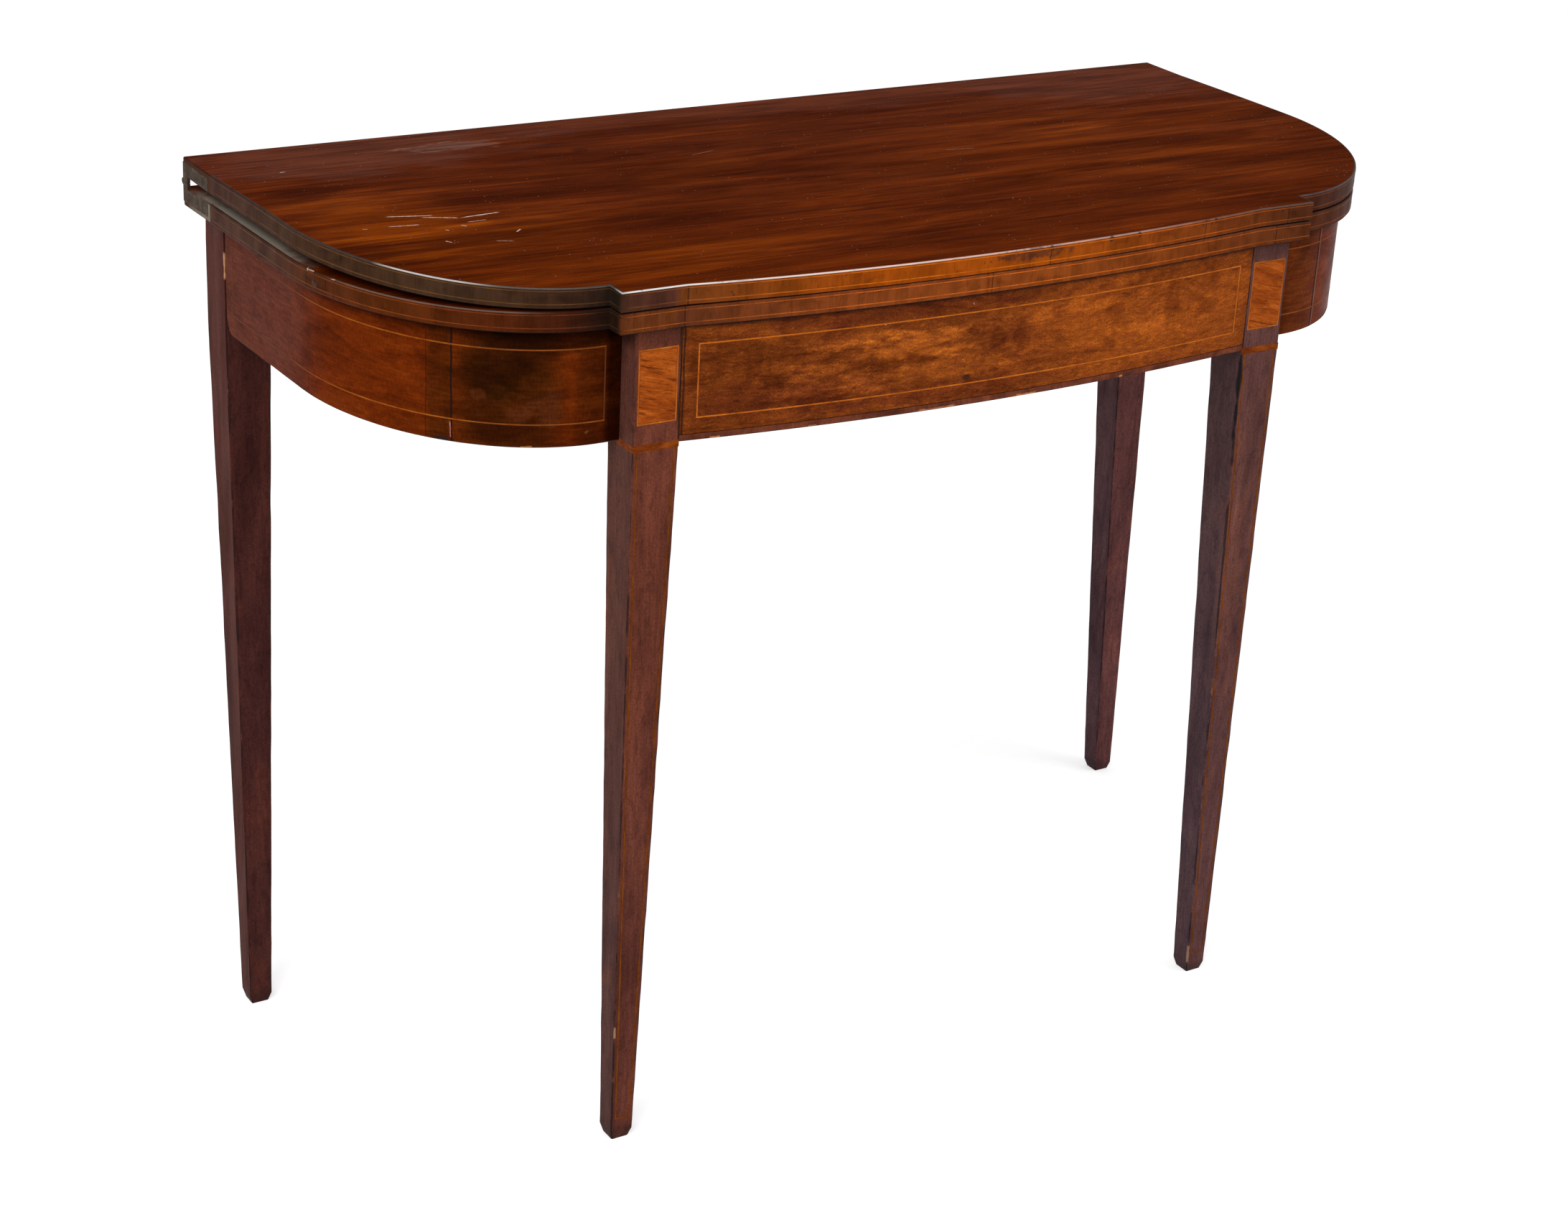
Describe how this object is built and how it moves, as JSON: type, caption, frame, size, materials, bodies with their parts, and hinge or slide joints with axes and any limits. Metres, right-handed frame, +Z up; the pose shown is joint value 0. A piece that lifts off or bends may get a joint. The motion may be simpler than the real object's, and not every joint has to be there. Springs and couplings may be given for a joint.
{
  "type": "card table",
  "caption": "Fold-over card table with a stepped bow-fronted top on end hinges, strung aprons, tapered legs and one rear leg that swings out to carry the open leaf.",
  "frame": {"origin": "on the floor under the middle of the table's outline from above, hinge knuckles included", "axes": "+X to the right along the top's length as seen from the front, +Y from the bowed front to the hinged back edge, +Z up from the floor"},
  "size_m": [0.994, 0.4623, 0.7457],
  "materials": {
    "mahogany": "old shellac polish, reddish brown, satin gloss",
    "dark_mahogany": "dark purple-brown polish, satin",
    "crossbanding": "polished cross-grained banding, brown, satin",
    "figured_veneer": "mottled figured veneer, polished",
    "flame_veneer": "bright orange-brown figured veneer, polished",
    "boxwood": "thin light stringing, darkened by polish",
    "deal": "plain unpolished softwood, aged brown",
    "bronzed_brass": "dull, dark brown patina",
    "iron": "dull, lightly rusted"
  },
  "bodies": {
    "frame": {"lower_leaf": "mahogany", "lower_leaf_edge_banding": "crossbanding", "lower_leaf_edge_stringing": "boxwood", "left_hinge_lower_plate": "bronzed_brass", "right_hinge_lower_plate": "bronzed_brass", "left_hinge_pin": "bronzed_brass", "right_hinge_pin": "bronzed_brass", "lower_hinge_screw_1": "bronzed_brass", "lower_hinge_screw_2": "bronzed_brass", "lower_hinge_screw_3": "bronzed_brass", "lower_hinge_screw_4": "bronzed_brass", "lower_hinge_screw_5": "bronzed_brass", "lower_hinge_screw_6": "bronzed_brass", "leaf_screw_1": "iron", "leaf_screw_2": "iron", "leaf_screw_3": "iron", "leaf_screw_4": "iron", "front_apron": "deal", "front_apron_veneer": "figured_veneer", "front_apron_lower_band": "dark_mahogany", "front_apron_stringing": "boxwood", "inner_rear_rail": "deal", "fixed_rear_rail": "mahogany", "rear_rail_screw_1": "iron", "rear_rail_screw_2": "iron", "fly_rail_pin": "iron", "middle_brace": "deal", "rear_right_leg": "dark_mahogany", "left_apron": "deal", "left_apron_veneer": "mahogany", "left_apron_stringing": "boxwood", "left_glue_block": "deal", "front_left_leg": "dark_mahogany", "front_left_leg_panel": "flame_veneer", "front_left_leg_panel_stringing": "boxwood", "front_left_leg_stringing": "boxwood", "front_left_leg_cuff_band": "flame_veneer", "right_apron": "deal", "right_apron_veneer": "mahogany", "right_apron_stringing": "boxwood", "right_glue_block": "deal", "front_right_leg": "dark_mahogany", "front_right_leg_panel": "flame_veneer", "front_right_leg_panel_stringing": "boxwood", "front_right_leg_stringing": "boxwood", "front_right_leg_cuff_band": "flame_veneer"},
    "upper_leaf": {"upper_leaf": "mahogany", "upper_leaf_edge_banding": "crossbanding", "upper_leaf_edge_stringing": "boxwood", "left_hinge_upper_plate": "bronzed_brass", "right_hinge_upper_plate": "bronzed_brass", "upper_hinge_screw_1": "bronzed_brass", "upper_hinge_screw_2": "bronzed_brass", "upper_hinge_screw_3": "bronzed_brass", "upper_hinge_screw_4": "bronzed_brass", "upper_hinge_screw_5": "bronzed_brass", "upper_hinge_screw_6": "bronzed_brass"},
    "fly_leg": {"fly_rail": "mahogany", "rear_left_fly_leg": "dark_mahogany"}
  },
  "joints": [
    {"name": "leaf_fold", "type": "hinge", "parent": "frame", "child": "upper_leaf", "pos_m": [0, 0.22817, 0.7252], "axis": [-1, 0, 0], "range_deg": [0, 181.09]},
    {"name": "fly_leg_swing", "type": "hinge", "parent": "frame", "child": "fly_leg", "pos_m": [0, 0.18202, 0.6583], "axis": [0, 0, -1], "range_deg": [0, 90]}
  ]
}
